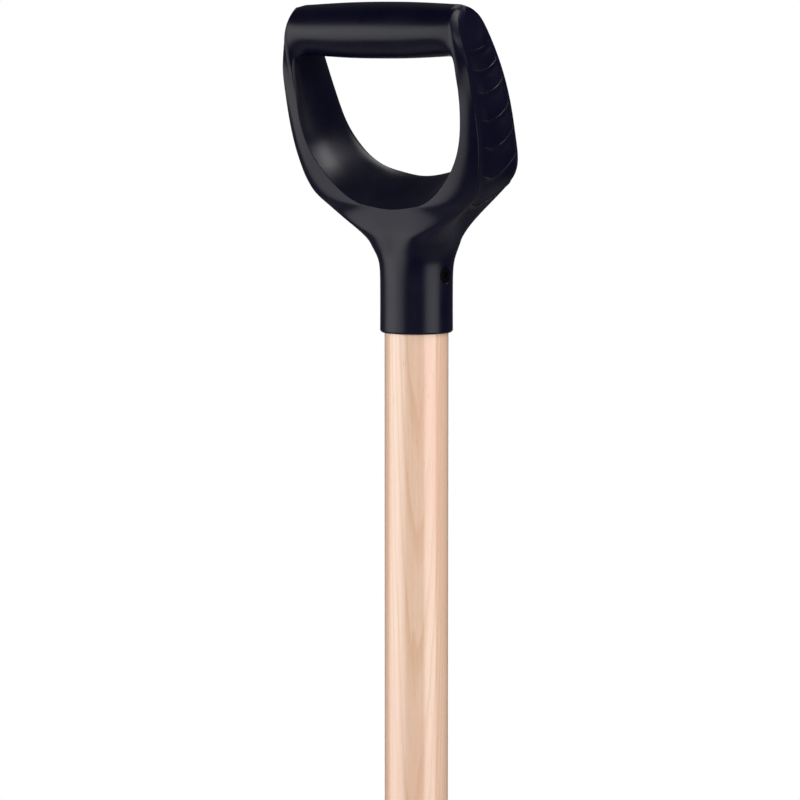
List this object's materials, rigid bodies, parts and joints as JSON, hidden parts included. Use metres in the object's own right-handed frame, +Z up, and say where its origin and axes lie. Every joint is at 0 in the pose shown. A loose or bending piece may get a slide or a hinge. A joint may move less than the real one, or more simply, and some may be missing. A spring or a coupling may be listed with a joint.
{
  "type": "digging spade",
  "caption": "Digging spade with a moulded D-handle, a straight round wooden shaft, a riveted steel socket and a dished steel blade with foot treads.",
  "frame": {"origin": "bottom centre of the whole spade as it stands upright on its cutting edge; the shaft's axis stands 13 mm behind it", "axes": "+Z up from the cutting edge towards the grip, +X along the grip bar to the right, +Y from the concave front of the blade towards its back"},
  "size_m": [0.192, 0.0703, 1.1661],
  "materials": {
    "handle_plastic": "fine satin moulding",
    "screw_steel": "blackened steel",
    "shaft_wood": "pale lacquered ash or beech",
    "socket_enamel": "satin black paint",
    "rivet_steel": "bright headed rivet",
    "blade_enamel": "satin black paint",
    "tread_enamel": "satin black paint",
    "weld_enamel": "satin black paint over a weld bead"
  },
  "bodies": {
    "root": {"d_handle": "handle_plastic", "handle_screw": "screw_steel", "shaft": "shaft_wood", "socket": "socket_enamel", "rivet_upper": "rivet_steel", "rivet_lower": "rivet_steel", "blade": "blade_enamel", "socket_weld": "weld_enamel", "tread_right": "tread_enamel", "tread_left": "tread_enamel", "tread_weld_right": "weld_enamel", "tread_weld_left": "weld_enamel"}
  },
  "joints": []
}
